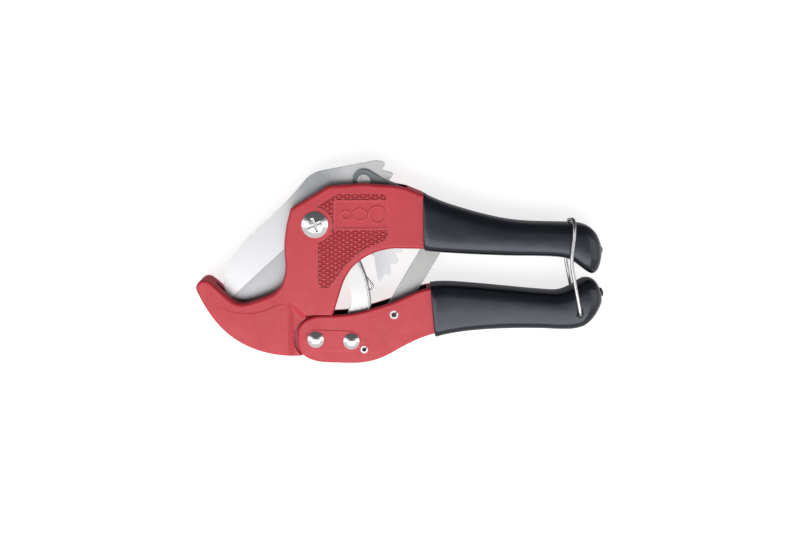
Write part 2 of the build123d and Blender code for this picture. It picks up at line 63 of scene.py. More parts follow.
# Everything is placed from the blade pivot, in millimetres, on the blade's middle plane.
PIVOT = middle("pivot_screw")
PIVOT.z = middle("blade").z
FRAME_HALF = (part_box("frame")[1][2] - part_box("frame")[0][2]) / 2 / MM
FIELD_DEPTH = 0.6
BAIL_PIVOT = (130.7, -44.1)
CAMERA_LEAN, CAMERA_DISTANCE, CAMERA_LENS = radians(8.5), 0.710, 63.9


def at(x, y, z=0.0):
    """The place, in the frame's metres, of a point given in millimetres from the pivot."""
    return PIVOT + Vector((x, y, z)) * MM


# ------------------------------------------------------------------ camera, floor, light
def make_camera():
    """Nearly straight down on the tool, leaning a little towards its upper edge."""
    aim = Vector((0.0, -0.0097, PIVOT.z))
    camera = bpy.data.objects.new("camera", bpy.data.cameras.new("camera"))
    camera.data.sensor_width = 36.0
    camera.data.lens = CAMERA_LENS
    camera.location = aim + Vector((0, sin(CAMERA_LEAN), cos(CAMERA_LEAN))) * CAMERA_DISTANCE
    camera.rotation_euler = (-CAMERA_LEAN, 0, 0)
    bpy.context.scene.collection.objects.link(camera)
    bpy.context.scene.camera = camera


def softbox(name, place, size, power, target=(0, 0, 0), turn=0.0):
    """A rectangular light in metres and watts that looks at its target, then turns about the vertical."""
    lamp = bpy.data.lights.new(name, "AREA")
    lamp.shape = "RECTANGLE"
    lamp.size, lamp.size_y = size
    lamp.energy = power
    light = bpy.data.objects.new(name, lamp)
    light.location = place
    aim = (Vector(target) - Vector(place)).to_track_quat("-Z", "Y").to_matrix()
    light.rotation_euler = (Matrix.Rotation(turn, 3, "Z") @ aim).to_euler()
    bpy.context.scene.collection.objects.link(light)


def make_world():
    """A room that is white on the near side and at both ends, and dark on the far side, for metal to show."""
    world = bpy.data.worlds.new("studio")
    bpy.context.scene.world = world
    world.use_nodes = True
    nodes, links = world.node_tree.nodes, world.node_tree.links
    direction = nodes.new("ShaderNodeTexCoord")
    split = nodes.new("ShaderNodeSeparateXYZ")
    sideways = nodes.new("ShaderNodeMath")
    sideways.operation = "ABSOLUTE"
    away = nodes.new("ShaderNodeMath")
    away.operation = "MULTIPLY_ADD"
    away.inputs[1].default_value = -0.55
    nearness = nodes.new("ShaderNodeMapRange")
    nearness.inputs["From Min"].default_value = -0.45
    nearness.inputs["From Max"].default_value = 0.10
    ramp = nodes.new("ShaderNodeValToRGB")
    ramp.color_ramp.elements[0].color = (1.0, 1.0, 1.0, 1)
    ramp.color_ramp.elements[1].color = (0.16, 0.165, 0.18, 1)
    links.new(direction.outputs["Generated"], split.inputs[0])
    links.new(split.outputs["X"], sideways.inputs[0])
    links.new(sideways.outputs[0], away.inputs[0])
    links.new(split.outputs["Y"], away.inputs[2])
    links.new(away.outputs[0], nearness.inputs["Value"])
    links.new(nearness.outputs["Result"], ramp.inputs["Fac"])
    links.new(ramp.outputs["Color"], nodes["Background"].inputs["Color"])
    nodes["Background"].inputs["Strength"].default_value = 0.75


def make_studio():
    """Lights, a white floor and a pale backdrop; neither shows in the tool's own reflections."""
    make_world()
    key_over = (-0.05, -0.475)
    softbox("key", (*key_over, 0.85), (1.3, 0.70), 7.8, (*key_over, 0), radians(-6))
    for name, x in (("fill", 0.85), ("edge", -0.85)):
        softbox(name, (x, 0.0, 0.50), (0.5, 0.8), 1.1)
    bpy.context.scene.view_settings.view_transform = "Standard"
    bpy.ops.mesh.primitive_plane_add(size=6.0, location=(0, 0, 0))
    floor = bpy.context.object
    floor.name = "floor"
    floor.data.materials.append(floor_material())
    floor.visible_glossy = False
    bpy.ops.mesh.primitive_uv_sphere_add(segments=48, ring_count=24, radius=5.0)
    backdrop = bpy.context.object
    backdrop.name = "backdrop"
    backdrop.data.materials.append(backdrop_material())
    backdrop.visible_diffuse = backdrop.visible_glossy = backdrop.visible_shadow = False


# ------------------------------------------------------------------ material tools
class Shader:
    """A material being wired: small helpers around one node tree."""

    def __init__(self, name, metallic=0.0, roughness=0.5):
        self.material = bpy.data.materials.new(name)
        self.material.use_nodes = True
        self.tree = self.material.node_tree
        self.bsdf = self.tree.nodes["Principled BSDF"]
        self.bsdf.inputs["Metallic"].default_value = metallic
        self.bsdf.inputs["Roughness"].default_value = roughness
        self.place = self.node("ShaderNodeTexCoord").outputs["Object"]

    def node(self, kind, **values):
        made = self.tree.nodes.new(kind)
        for key, value in values.items():
            setattr(made, key, value)
        return made

    def link(self, source, target):
        self.tree.links.new(source, target)

    def feed(self, value, socket):
        """Links another socket to this one, or sets a plain value on it."""
        if isinstance(value, bpy.types.NodeSocket):
            self.link(value, socket)
        else:
            socket.default_value = value

    def stretched(self, scale, turn=0.0):
        """The place on the object, turned about Z and then scaled, for noise that runs one way."""
        mapping = self.node("ShaderNodeMapping")
        mapping.inputs["Scale"].default_value = scale
        turned = self.node("ShaderNodeMapping")
        turned.inputs["Rotation"].default_value = (0, 0, turn)
        self.link(self.place, turned.inputs["Vector"])
        self.link(turned.outputs["Vector"], mapping.inputs["Vector"])
        return mapping.outputs["Vector"]

    def noise(self, scale, detail=3.0, roughness=0.5, vector=None):
        made = self.node("ShaderNodeTexNoise")
        made.inputs["Scale"].default_value = scale
        made.inputs["Detail"].default_value = detail
        made.inputs["Roughness"].default_value = roughness
        self.link(vector or self.place, made.inputs["Vector"])
        return made.outputs["Fac"]

    def ramp(self, factor, stops):
        made = self.node("ShaderNodeValToRGB")
        while len(made.color_ramp.elements) < len(stops):
            made.color_ramp.elements.new(0.5)
        for element, (position, colour) in zip(made.color_ramp.elements, stops):
            element.position = position
            element.color = (*colour, 1.0)
        self.link(factor, made.inputs["Fac"])
        return made.outputs["Color"]

    def mix(self, factor, first, second, blend="MIX"):
        made = self.node("ShaderNodeMix", data_type="RGBA", blend_type=blend)
        for socket, value in ((made.inputs[0], factor), (made.inputs[6], first), (made.inputs[7], second)):
            self.feed((*value, 1.0) if isinstance(value, tuple) else value, socket)
        return made.outputs[2]

    def spread(self, factor, low, high):
        """Noise, which stays mostly between 0.3 and 0.7, stretched to run from low to high."""
        made = self.node("ShaderNodeMapRange")
        made.inputs["To Min"].default_value = low
        made.inputs["To Max"].default_value = high
        made.inputs["From Min"].default_value = 0.3
        made.inputs["From Max"].default_value = 0.7
        self.link(factor, made.inputs["Value"])
        return made.outputs["Result"]

    def bump(self, height, strength, distance, under=None):
        made = self.node("ShaderNodeBump")
        made.inputs["Strength"].default_value = strength
        made.inputs["Distance"].default_value = distance
        self.link(height, made.inputs["Height"])
        if under:
            self.link(under, made.inputs["Normal"])
        self.link(made.outputs["Normal"], self.bsdf.inputs["Normal"])
        return made.outputs["Normal"]

    def math(self, operation, first, second=0.0):
        made = self.node("ShaderNodeMath", operation=operation)
        self.feed(first, made.inputs[0])
        self.feed(second, made.inputs[1])
        return made.outputs["Value"]

    def vector(self, operation, first, second, output="Value"):
        made = self.node("ShaderNodeVectorMath", operation=operation)
        self.feed(first, made.inputs[0])
        self.feed(second, made.inputs[1])
        return made.outputs[output]

    def axes(self, vector):
        """The three numbers of a vector, by index or by letter."""
        split = self.node("ShaderNodeSeparateXYZ")
        self.link(vector, split.inputs[0])
        return split.outputs

    def fade(self, value, zero_at, one_at):
        """A straight run from 0 at one value to 1 at the other, held level outside them."""
        made = self.node("ShaderNodeMapRange")
        made.inputs["From Min"].default_value = zero_at
        made.inputs["From Max"].default_value = one_at
        self.link(value, made.inputs["Value"])
        return made.outputs["Result"]

    def above_middle(self):
        """Height over the tool's middle plane, in metres."""
        return self.math("SUBTRACT", self.axes(self.place)["Z"], PIVOT.z)

    def height(self):
        """Distance from the tool's middle plane, in metres."""
        return self.math("ABSOLUTE", self.above_middle())

    def band(self, value, low, high):
        """1 from low to just under high, and 0 outside."""
        rise = self.fade(value, low - 0.1 * MM, low)
        fall = self.fade(value, high, high - 0.3 * MM)
        return self.math("MULTIPLY", rise, fall)

    def outside_pad(self):
        """1 over the checkered field, and 0 on the name pad and the lower handle."""
        axes, centre = self.axes(self.place), at(*PAD_CENTRE)
        reach = []
        for axis, width in enumerate(PAD_SIZE):
            away = self.math("ABSOLUTE", self.math("SUBTRACT", axes[axis], centre[axis]))
            reach.append(self.fade(away, (width / 2 - 0.6) * MM, (width / 2 - 0.2) * MM))
        above_handle = self.fade(axes["Y"], at(0, -36).y, at(0, -34).y)
        return self.math("MULTIPLY", self.math("MAXIMUM", *reach), above_handle)

    def near(self, spot, reach):
        """1 around a spot given in millimetres from the pivot, fading to 0 at its reach."""
        away = self.vector("DISTANCE", self.place, at(*spot))
        return self.fade(away, reach * MM, reach * MM / 3)

    def facing_inwards(self):
        """1 on the level faces that look towards the tool's middle plane."""
        normal = self.axes(self.node("ShaderNodeTexCoord").outputs["Normal"])
        side = self.math("SIGN", self.above_middle())
        return self.fade(self.math("MULTIPLY", side, normal["Z"]), -0.6, -0.9)

    def edges(self, width):
        """1 along edges, from how far a rounded normal turns away from the true one."""
        rounded = self.node("ShaderNodeBevel", samples=6)
        rounded.inputs["Radius"].default_value = width
        true = self.node("ShaderNodeNewGeometry").outputs["Normal"]
        return self.fade(self.vector("DOT_PRODUCT", rounded.outputs["Normal"], true), 0.995, 0.93)

    def colour(self, source):
        self.link(source, self.bsdf.inputs["Base Color"])

    def rough(self, source):
        self.link(source, self.bsdf.inputs["Roughness"])


def floor_material():
    """A nearly white floor with a little glow of its own, so that it stays pale in shadow."""
    shader = Shader("pale_floor", roughness=0.7)
    shader.bsdf.inputs["Emission Color"].default_value = (1, 1, 1, 1)
    shader.bsdf.inputs["Emission Strength"].default_value = 0.76
    shader.colour(shader.ramp(shader.noise(3.0, 2), [(0.3, (0.40, 0.40, 0.40)), (0.7, (0.43, 0.43, 0.43))]))
    return shader.material


def backdrop_material():
    """A pale glow that hides the room from the camera and lights nothing."""
    shader = Shader("pale_backdrop", roughness=1.0)
    shader.bsdf.inputs["Base Color"].default_value = (0, 0, 0, 1)
    shader.bsdf.inputs["Emission Strength"].default_value = 1.0
    glow = shader.ramp(shader.noise(0.2, 1), [(0.3, (0.90, 0.90, 0.91)), (0.7, (0.94, 0.94, 0.94))])
    shader.link(glow, shader.bsdf.inputs["Emission Color"])
    return shader.material


def red_paint():
    """Satin enamel on a casting: fine peel, paler worn edges, painted shade in what is sunk, painted shade on
    the insides.
    """
    shader = Shader("red_paint")
    body = shader.ramp(shader.noise(55.0, 4), [(0.3, (0.48, 0.024, 0.038)), (0.7, (0.54, 0.032, 0.048))])
    specks = shader.ramp(shader.noise(1500.0, 2), [(0.35, (0.40, 0.015, 0.025)), (0.65, (0.80, 0.10, 0.12))])
    flecked = shader.mix(0.09, body, specks)
    worn = shader.math("MULTIPLY", shader.edges(0.5 * MM), shader.spread(shader.noise(420.0, 3), 0.15, 0.60))
    rubbed = shader.mix(worn, flecked, (0.82, 0.20, 0.22))
    height = shader.height()
    # Painted shade: the sunk checkered field is coloured a darker red, standing in for the shade in that
    # recess.
    sunk = shader.band(height, (FRAME_HALF - FIELD_DEPTH - 0.1) * MM, (FRAME_HALF - 0.12) * MM)
    in_field = shader.math("MULTIPLY", sunk, shader.outside_pad())
    field_painted_shade = shader.mix(in_field, rubbed, (0.36, 0.016, 0.025))
    # Painted shade: the level faces inside the channels are coloured near black, standing in for the shade
    # inside them.
    inner = shader.math("MULTIPLY", shader.facing_inwards(), shader.fade(height, 7.4 * MM, 6.6 * MM))
    shader.colour(shader.mix(inner, field_painted_shade, (0.010, 0.007, 0.008)))
    shader.rough(shader.spread(shader.noise(240.0, 3), 0.36, 0.50))
    casting = shader.bump(shader.noise(160.0, 3), 0.16, 0.0009)
    shader.bump(shader.noise(1900.0, 2), 0.10, 0.0003, casting)
    return shader.material


def grip_vinyl():
    """Dipped vinyl: near black, soft shine, slow waves and fine handling marks."""
    shader = Shader("grip_vinyl")
    shader.bsdf.inputs["Specular IOR Level"].default_value = 0.56
    shader.bsdf.inputs["Specular Tint"].default_value = (0.84, 0.88, 1.0, 1)
    cloud = shader.noise(70.0, 3)
    shader.colour(shader.ramp(cloud, [(0.3, (0.005, 0.006, 0.009)), (0.7, (0.009, 0.010, 0.014))]))
    marks = shader.noise(60.0, 5, 0.7, shader.stretched((1.0, 14.0, 14.0)))
    shader.rough(shader.spread(marks, 0.16, 0.24))
    waves = shader.bump(shader.noise(38.0, 2), 0.22, 0.0016)
    shader.bump(shader.noise(900.0, 3), 0.05, 0.0003, waves)
    return shader.material


def brushed(name, dark, light, rough, grain, turn=0.0, lift=0.12):
    """Steel with fine lines along one direction."""
    shader = Shader(name, metallic=1.0)
    lines = shader.noise(grain, 4, 0.65, shader.stretched((1.0, 26.0, 1.0), turn))
    cloud = shader.noise(90.0, 3)
    shader.colour(shader.mix(0.35, shader.ramp(lines, [(0.3, dark), (0.7, light)]),
                             shader.ramp(cloud, [(0.3, dark), (0.7, light)])))
    shader.rough(shader.spread(lines, rough - 0.07, rough + 0.07))
    shader.bump(lines, lift, 0.0001)
    return shader.material


def polished(name, dark, light, rough):
    """Plated or drawn metal with short handling marks."""
    shader = Shader(name, metallic=1.0)
    marks = shader.noise(420.0, 5, 0.7, shader.stretched((1.0, 9.0, 1.0), 0.6))
    shader.colour(shader.ramp(marks, [(0.35, dark), (0.65, light)]))
    shader.rough(shader.spread(marks, rough - 0.05, rough + 0.06))
    shader.bump(marks, 0.05, 0.0001)
    return shader.material


BEVEL_START, BEVEL_RUN, BEVEL_LENGTH = (-43.4, -38.2), (26.8, 24.7), 37.2


def blade_steel():
    """Satin ground flats, and a darker, cross-ground bevel below the line from the tip."""
    shader = Shader("blade_steel", metallic=1.0)
    along = Vector((*BEVEL_RUN, 0)).normalized()
    below = Vector((along.y, -along.x, 0))
    offset = shader.vector("SUBTRACT", shader.place, at(*BEVEL_START), "Vector")
    past_line = shader.fade(shader.vector("DOT_PRODUCT", offset, below), -0.1 * MM, 0.2 * MM)
    along_line = shader.vector("DOT_PRODUCT", offset, along)
    before_end = shader.fade(along_line, BEVEL_LENGTH * MM, (BEVEL_LENGTH - 0.3) * MM)
    bevel = shader.math("MULTIPLY", past_line, before_end)
    flat_lines = shader.noise(330.0, 4, 0.6, shader.stretched((1.0, 22.0, 1.0), radians(-48)))
    bevel_lines = shader.noise(520.0, 4, 0.6, shader.stretched((30.0, 1.0, 1.0), radians(-42)))
    flat = shader.ramp(flat_lines, [(0.3, (0.48, 0.48, 0.49)), (0.7, (0.57, 0.57, 0.58))])
    # Painted shade: the flat is darkened around the spine, next to the frame's edge, where shade falls on it.
    spine_painted_shade = shader.near((-2.0, 22.0), 18.0)
    toothed_end = shader.near((22.0, -24.0), 20.0)
    flat = shader.mix(spine_painted_shade, flat, (0.60, 0.63, 0.64), "MULTIPLY")
    flat = shader.mix(toothed_end, flat, (0.74, 0.74, 0.78), "MULTIPLY")
    ground = shader.ramp(bevel_lines, [(0.3, (0.27, 0.268, 0.28)), (0.7, (0.36, 0.357, 0.37))])
    shader.colour(shader.mix(bevel, flat, ground))
    shader.rough(shader.spread(flat_lines, 0.34, 0.44))
    shader.bump(shader.mix(bevel, flat_lines, bevel_lines), 0.10, 0.0001)
    return shader.material


# ------------------------------------------------------------------ mesh tools
SECTION_POINTS = 56


def new_object(name, vertices, faces, smooth=True):
    """A mesh object from points and faces, with its normals pointing outwards."""
    mesh = bpy.data.meshes.new(name)
    mesh.from_pydata([tuple(v) for v in vertices], [], faces)
    mesh.validate()
    made = bpy.data.objects.new(name, mesh)
    bpy.context.scene.collection.objects.link(made)
    if smooth:
        mesh.polygons.foreach_set("use_smooth", [True] * len(mesh.polygons))
    work = bmesh.new()
    work.from_mesh(mesh)
    bmesh.ops.recalc_face_normals(work, faces=work.faces)
    work.to_mesh(mesh)
    work.free()
    return made


def finish_piece(piece, body, slot, material, *replaced):
    """Gives a piece its material and its body, and hides the CAD nodes that it stands for; the slot is not
    used.
    """
    piece.data.materials.clear()
    piece.data.materials.append(material)
    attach(piece, body)
    if replaced:
        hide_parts(*replaced)


def curve_through(points):
    """A smooth function of x through given points."""
    xs = [p[0] for p in points]
    ys = [p[1] for p in points]
    slopes = []
    for i in range(len(points)):
        before, after = max(i - 1, 0), min(i + 1, len(points) - 1)
        slopes.append((ys[after] - ys[before]) / (xs[after] - xs[before]))

    def value(x):
        if x <= xs[0]:
            return ys[0]
        if x >= xs[-1]:
            return ys[-1]
        i = max(k for k in range(len(xs) - 1) if xs[k] <= x)
        width = xs[i + 1] - xs[i]
        t = (x - xs[i]) / width
        return ((2 * t ** 3 - 3 * t ** 2 + 1) * ys[i] + (t ** 3 - 2 * t ** 2 + t) * width * slopes[i]
                + (3 * t ** 2 - 2 * t ** 3) * ys[i + 1] + (t ** 3 - t ** 2) * width * slopes[i + 1])

    return value


def rounded_section(half_y, half_z, exponent):
    """A ring between an ellipse, at exponent 2, and a box."""
    ring = []
    power = 2.0 / exponent
    for step in range(SECTION_POINTS):
        turn = 2 * pi * step / SECTION_POINTS
        c, s = cos(turn), sin(turn)
        ring.append((half_y * (abs(c) ** power) * (1 if c >= 0 else -1),
                     half_z * (abs(s) ** power) * (1 if s >= 0 else -1)))
    return ring


def skin(name, rings):
    """A closed mesh over rings of points, all with the same count."""
    count = len(rings[0])
    faces = []
    for ring in range(len(rings) - 1):
        for step in range(count):
            a, b = ring * count + step, ring * count + (step + 1) % count
            faces.append((a, b, b + count, a + count))
    for first in (0, (len(rings) - 1) * count):
        faces.append(tuple(range(first, first + count)))
    return new_object(name, [point for ring in rings for point in ring], faces)


def loft(name, stations):
    """Closed skin over sections; a station is (x, low y, high y, half z, exponent, lean)."""
    rings = []
    for x, low, high, half_z, exponent, lean in stations:
        centre, half_y = (low + high) / 2, (high - low) / 2
        section = rounded_section(half_y, half_z, exponent)
        rings.append([at(x - lean * dy, centre + dy, dz) for dy, dz in section])
    return skin(name, rings)


def tube(name, points, radius, sides=14):
    """A round wire along points in millimetres, with closed ends; the radius may vary by point."""
    points = [Vector(p) for p in points]
    radii = radius if isinstance(radius, list) else [radius] * len(points)
    rings = []
    side = None
    for i, point in enumerate(points):
        direction = (points[min(i + 1, len(points) - 1)] - points[max(i - 1, 0)]).normalized()
        side = side or direction.orthogonal().normalized()
        side = (side - direction * side.dot(direction)).normalized()
        other = direction.cross(side)
        turns = [2 * pi * step / sides for step in range(sides)]
        rings.append([at(*(point + (side * cos(turn) + other * sin(turn)) * radii[i])) for turn in turns])
    return skin(name, rings)


def cut(piece, vertices, faces):
    """Takes a closed shape out of a piece."""
    cutter = new_object("cutter", vertices, faces, smooth=False)
    difference = piece.modifiers.new("cut", "BOOLEAN")
    difference.object = cutter
    difference.operation = "DIFFERENCE"
    difference.solver = "EXACT"
    graph = bpy.context.evaluated_depsgraph_get()
    mesh = bpy.data.meshes.new_from_object(piece.evaluated_get(graph))
    piece.modifiers.clear()
    piece.data = mesh
    bpy.data.objects.remove(cutter)


def cut_box(piece, low, high):
    """Cuts out a box, given by two corners in millimetres from the pivot."""
    corners = [at(x, y, z) for x in (low[0], high[0]) for y in (low[1], high[1]) for z in (low[2], high[2])]
    cut(piece, corners, [(0, 1, 3, 2), (4, 6, 7, 5), (0, 4, 5, 1), (2, 3, 7, 6), (0, 2, 6, 4), (1, 5, 7, 3)])


def cut_hole(piece, place, radius, start, end, sides=24):
    """Drills a round hole between two heights."""
    vertices = []
    for z in (start, end):
        for step in range(sides):
            turn = 2 * pi * step / sides
            vertices.append(at(place[0] + radius * cos(turn), place[1] + radius * sin(turn), z))
    faces = [(k, (k + 1) % sides, (k + 1) % sides + sides, k + sides) for k in range(sides)]
    faces += [tuple(range(sides)), tuple(range(sides, 2 * sides))]
    cut(piece, vertices, faces)


def smooth_path(points, steps):
    """A Catmull-Rom curve through points of any dimension."""
    points = [Vector(p) if len(p) == 3 else Vector((*p, 0)) for p in points]
    padded = [points[0] * 2 - points[1], *points, points[-1] * 2 - points[-2]]
    path = []
    for i in range(1, len(padded) - 2):
        p0, p1, p2, p3 = padded[i - 1:i + 3]
        for step in range(steps):
            t = step / steps
            path.append(0.5 * (2 * p1 + (p2 - p0) * t + (2 * p0 - 5 * p1 + 4 * p2 - p3) * t * t
                               + (3 * p1 - p0 - 3 * p2 + p3) * t ** 3))
    path.append(points[-1])
    return [tuple(p) for p in path]


# The weight that the weighted normal modifier gives to a strong face.
STRONG_FACE = 16384


def angle_shading():
    """A node group that hardens edges sharper than 32 degrees, and marks level faces as the strong ones."""
    group = bpy.data.node_groups.new("angle_shading", "GeometryNodeTree")
    group.interface.new_socket("Geometry", in_out="INPUT", socket_type="NodeSocketGeometry")
    group.interface.new_socket("Geometry", in_out="OUTPUT", socket_type="NodeSocketGeometry")
    entry, leave = group.nodes.new("NodeGroupInput"), group.nodes.new("NodeGroupOutput")
    soft = group.nodes.new("GeometryNodeSetShadeSmooth")
    hard = group.nodes.new("GeometryNodeSetShadeSmooth")
    hard.domain = "EDGE"
    hard.inputs["Shade Smooth"].default_value = False
    angle = group.nodes.new("GeometryNodeInputMeshEdgeAngle")
    steep = group.nodes.new("FunctionNodeCompare")
    steep.inputs[1].default_value = radians(32)
    group.links.new(entry.outputs[0], soft.inputs["Geometry"])
    group.links.new(soft.outputs[0], hard.inputs["Geometry"])
    group.links.new(angle.outputs["Unsigned Angle"], steep.inputs[0])
    group.links.new(steep.outputs[0], hard.inputs["Selection"])
    normal = group.nodes.new("GeometryNodeInputNormal")
    split = group.nodes.new("ShaderNodeSeparateXYZ")
    size = group.nodes.new("ShaderNodeMath")
    size.operation = "ABSOLUTE"
    level = group.nodes.new("FunctionNodeCompare")
    level.inputs[1].default_value = 0.99995
    weight = group.nodes.new("ShaderNodeMath")
    weight.operation = "MULTIPLY"
    weight.inputs[1].default_value = STRONG_FACE
    store = group.nodes.new("GeometryNodeStoreNamedAttribute")
    store.data_type, store.domain = "INT", "FACE"
    store.inputs["Name"].default_value = "__mod_weightednormals_faceweight"
    group.links.new(normal.outputs[0], split.inputs[0])
    group.links.new(split.outputs["Z"], size.inputs[0])
    group.links.new(size.outputs[0], level.inputs[0])
    group.links.new(level.outputs[0], weight.inputs[0])
    group.links.new(hard.outputs[0], store.inputs["Geometry"])
    group.links.new(weight.outputs[0], store.inputs["Value"])
    group.links.new(store.outputs[0], leave.inputs[0])
    return group


def shade_well(piece, group):
    """Joins split vertices, keeps hard edges hard, and lets large flat faces shade flat."""
    weld = piece.modifiers.new("weld", "WELD")
    weld.merge_threshold = 0.000002
    sharp = piece.modifiers.new("sharp", "NODES")
    sharp.node_group = group
    flat = piece.modifiers.new("flat", "WEIGHTED_NORMAL")
    flat.keep_sharp = True
    flat.use_face_influence = True
    flat.weight = 100


# ------------------------------------------------------------------ grips
def grip_stations(start, end, top, bottom, thick, lean):
    """Sections from the mouth to the rounded end, closer together at both ends."""
    stations = []
    count = 64
    lip, lip_square, lean_fades = 0.8, 5.5, 22.0
    mouth_square, softer, softer_over = 6.0, 1.4, 35.0
    rounder, rounder_over, rounder_power = 2.3, 9.0, 0.7
    for back, fullness in ((0.0, 0.965), (0.25, 0.985), (lip, 1.0)):
        low = bottom(start) * fullness + top(start) * (1 - fullness)
        stations.append((start + back, low, top(start), thick(start) * fullness, lip_square, lean))
    for step in range(1, count + 1):
        x = start + lip + (end - start - lip) * sin(pi / 2 * step / count)
        square = (mouth_square - softer * min((x - start) / softer_over, 1.0)
                  - rounder * max(0.0, 1 - (end - x) / rounder_over) ** rounder_power)
        lean_here = lean * max(0.0, 1 - (x - start) / lean_fades)
        stations.append((x, bottom(x), top(x), thick(x), square, lean_here))
    return stations


def upper_grip_skin(vinyl):
    """The upper grip, with the opening that the feed pawl passes through."""
    start, end = 53.2, 142.1
    top = curve_through([
        (52.0, 15.2), (61.6, 10.8), (70.0, 7.9), (81.5, 4.6), (93.7, 1.9), (103.8, 0.7), (114.0, 0.3),
        (127.0, 0.0), (132.0, -0.5), (136.0, -2.1), (139.2, -5.3), (141.2, -9.6), (141.9, -12.6),
        (end, -14.2)])
    bottom = curve_through([
        (52.0, -13.3), (66.6, -14.5), (93.0, -15.8), (113.0, -16.1), (122.9, -16.9), (127.0, -18.5),
        (132.2, -22.2), (135.6, -24.5), (137.8, -25.0), (139.8, -23.6), (141.2, -20.4), (141.9, -17.0),
        (end, -15.4)])
    thick = curve_through([
        (52.0, 11.7), (70.0, 11.4), (97.0, 11.2), (132.0, 11.1), (136.0, 10.6), (139.0, 9.2), (140.8, 6.8),
        (141.7, 4.0), (end, 1.6)])
    grip = loft("upper_grip_skin", grip_stations(start, end, top, bottom, thick, 0.016))
    cut_box(grip, (51.0, -21.0, -6.2), (70.8, -9.0, 6.2))
    finish_piece(grip, "frame", "grip_vinyl", vinyl, "upper_grip")


def lower_grip_skin(vinyl):
    """The lower grip, with a blind hole on each side for the bail."""
    start, end = 57.9, 142.7
    top = curve_through([
        (56.0, -30.6), (66.0, -30.1), (80.0, -31.0), (97.8, -32.6), (112.0, -33.9), (121.0, -34.2),
        (126.5, -32.3), (130.6, -29.6), (134.6, -27.8), (138.4, -28.5), (140.9, -31.6), (142.2, -35.4),
        (end, -38.0)])
    bottom = curve_through([
        (56.0, -57.0), (66.0, -54.8), (80.0, -53.1), (98.0, -52.3), (112.0, -52.3), (122.0, -52.7),
        (129.0, -52.4), (134.6, -50.5), (138.6, -46.9), (141.2, -42.8), (142.3, -40.4), (end, -39.0)])
    thick = curve_through([
        (56.0, 11.7), (74.0, 11.4), (97.0, 11.2), (132.0, 11.1), (136.4, 10.6), (139.4, 9.2), (141.3, 6.8),
        (142.3, 4.0), (end, 1.6)])
    grip = loft("lower_grip_skin", grip_stations(start, end, top, bottom, thick, 0.093))
    hole_radius, hole_floor, outside = 1.35, 9.4, 13.0
    for side in (1, -1):
        cut_hole(grip, BAIL_PIVOT, hole_radius, side * hole_floor, side * outside)
    finish_piece(grip, "lower_handle", "grip_vinyl", vinyl, "lower_grip")


def dip_nub(name, body, place, half_wide, turn, vinyl):
    """The small drip that dipping leaves on the end of a grip."""
    half_long, half_thick = 1.15, 1.7
    rings, sides = 12, 24
    outline = []
    for ring in range(1, rings):
        polar = pi * ring / rings
        points = []
        for step in range(sides):
            around = 2 * pi * step / sides
            long, wide = half_long * cos(polar), half_wide * sin(polar) * cos(around)
            x = place[0] + long * cos(turn) - wide * sin(turn)
            y = place[1] + long * sin(turn) + wide * cos(turn)
            points.append(at(x, y, half_thick * sin(polar) * sin(around)))
        outline.append(points)
    finish_piece(skin(name, outline), body, "grip_vinyl", vinyl)


# ------------------------------------------------------------------ cast surface detail
FIELD = [(1.4, -6.0), (1.4, -28.6), (2.6, -31.2), (6.6, -31.2), (9.4, -27.9), (14.9, -20.0), (22.2, -13.3),
         (34.4, -7.4), (36.0, -5.0), (36.0, 12.4), (33.6, 15.2), (11.0, 15.2), (5.0, 11.8), (-1.6, 7.0)]
PAD_CENTRE, PAD_SIZE = (22.7, 4.8), (27.0, 14.8)
BOSS_RADIUS = 8.6


def inside_field(x, y):
    """Whether a stud's middle is in the sunk field, clear of the name pad and the pivot boss."""
    inside = False
    for (x1, y1), (x2, y2) in zip(FIELD, FIELD[1:] + FIELD[:1]):
        if (y1 > y) != (y2 > y) and x < (x2 - x1) * (y - y1) / (y2 - y1) + x1:
            inside = not inside
    on_pad = abs(x - PAD_CENTRE[0]) < PAD_SIZE[0] / 2 and abs(y - PAD_CENTRE[1]) < PAD_SIZE[1] / 2
    return inside and not on_pad and hypot(x, y) > BOSS_RADIUS


def checker_field(name, side, paint):
    """Rows of small raised diamonds, narrower at the top, every other row shifted by half a step."""
    step_x, step_y, slope, start_x = 3.9, 1.13, 0.035, 0.4
    half_x, half_y, shoulder = 1.66, 0.97, 0.50
    low, high = FRAME_HALF - FIELD_DEPTH - 0.05, FRAME_HALF - 0.02
    corners = [(half_x, 0), (0, half_y), (-half_x, 0), (0, -half_y)]
    vertices, faces = [], []
    for row in range(-30, 20):
        for column in range(-2, 12):
            x = column * step_x + (row % 2) * step_x / 2 + start_x
            y = row * step_y + slope * x
            if not inside_field(x, y):
                continue
            first = len(vertices)
            for scale, z in ((1.0, low), (shoulder, high)):
                for dx, dy in corners:
                    vertices.append(at(x + dx * scale, y + dy * scale, side * z))
            for k in range(4):
                n = (k + 1) % 4
                faces.append((first + k, first + n, first + 4 + n, first + 4 + k))
            faces.append((first, first + 1, first + 2, first + 3))
            faces.append((first + 4, first + 5, first + 6, first + 7))
    field = new_object(name, vertices, faces, smooth=False)
    finish_piece(field, "frame", "red_paint", paint)


def ring_mesh(vertices, faces, x, y, outer, inner, low, high, side, count=48):
    """Adds one raised ring with sloping walls to the vertices and faces."""
    slope = 0.18
    profile = [(outer, low), (outer - slope, high), (inner + slope, high), (inner, low)]
    first = len(vertices)
    for step in range(count):
        turn = 2 * pi * step / count
        for radius, z in profile:
            vertices.append(at(x + radius * cos(turn), y + radius * sin(turn), side * z))
    for step in range(count):
        for k in range(4):
            here, beyond = first + step * 4, first + (step + 1) % count * 4
            faces.append((here + k, here + (k + 1) % 4, beyond + (k + 1) % 4, beyond + k))


